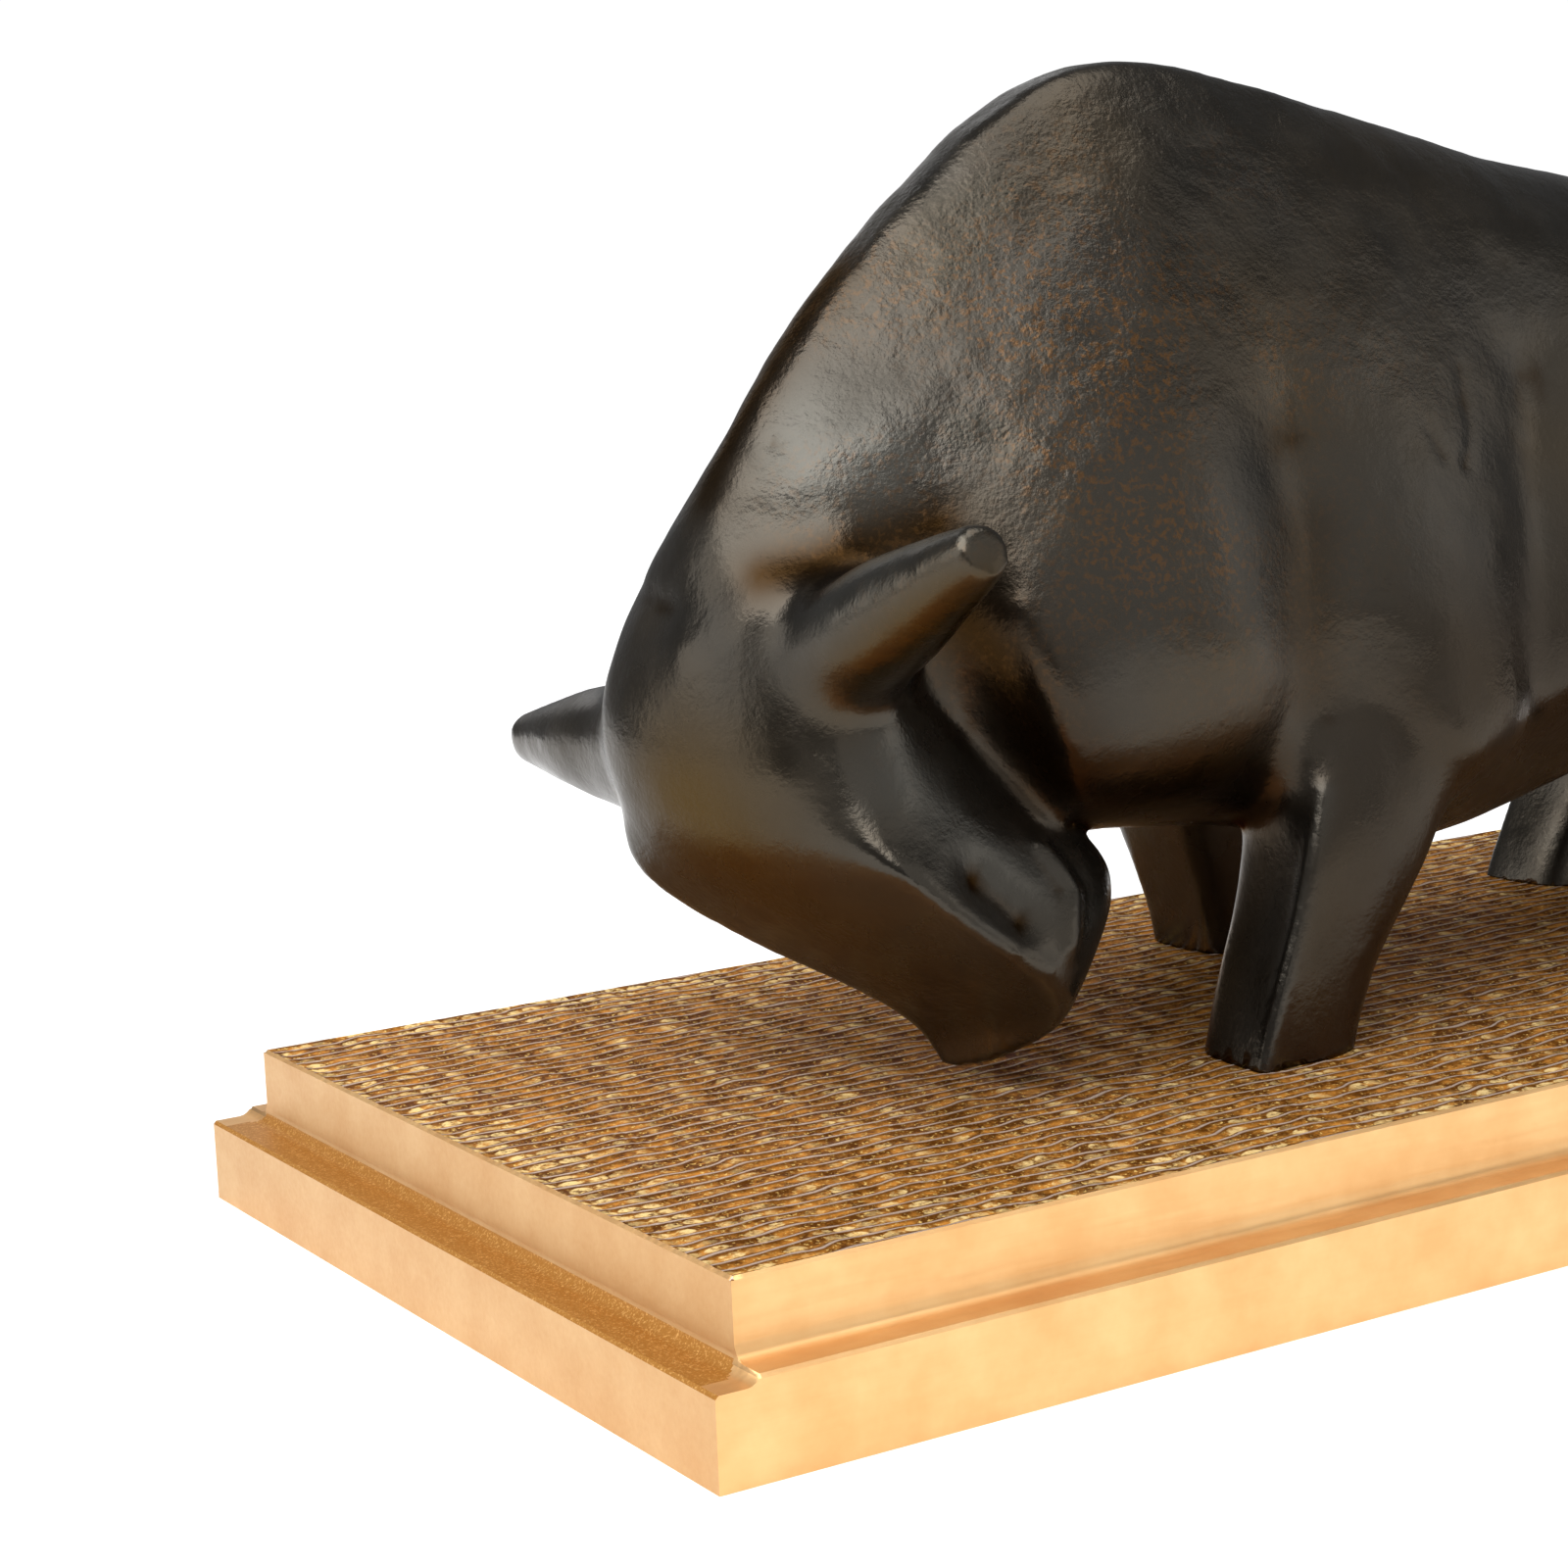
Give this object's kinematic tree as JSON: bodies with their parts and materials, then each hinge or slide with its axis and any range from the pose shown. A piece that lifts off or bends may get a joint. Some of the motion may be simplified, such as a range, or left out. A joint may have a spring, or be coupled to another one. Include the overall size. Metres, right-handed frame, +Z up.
{
  "type": "bull sculpture",
  "caption": "Stylised charging bull with its head lowered and turned, cast in dark patinated bronze, standing on a gilded rectangular plinth with a routed ledge.",
  "frame": {"origin": "centre of the plinth's underside, which is the bottom centre of the whole object", "axes": "+Z up; +X along the plinth towards the bull's rump, so the bull faces -X; +Y towards the bull's right flank"},
  "size_m": [0.45, 0.2, 0.2188],
  "materials": {
    "patinated_bronze": "near-black warm brown bronze patina, satin wax sheen over hand-worked tool marks, rubbed through to orange brown on the hump",
    "gilded_wood": "pale gold leaf on the sides with faint grain, glossy antiqued brown-gold ripples on the top"
  },
  "bodies": {
    "root": {"bull": "patinated_bronze", "plinth": "gilded_wood"}
  },
  "joints": []
}
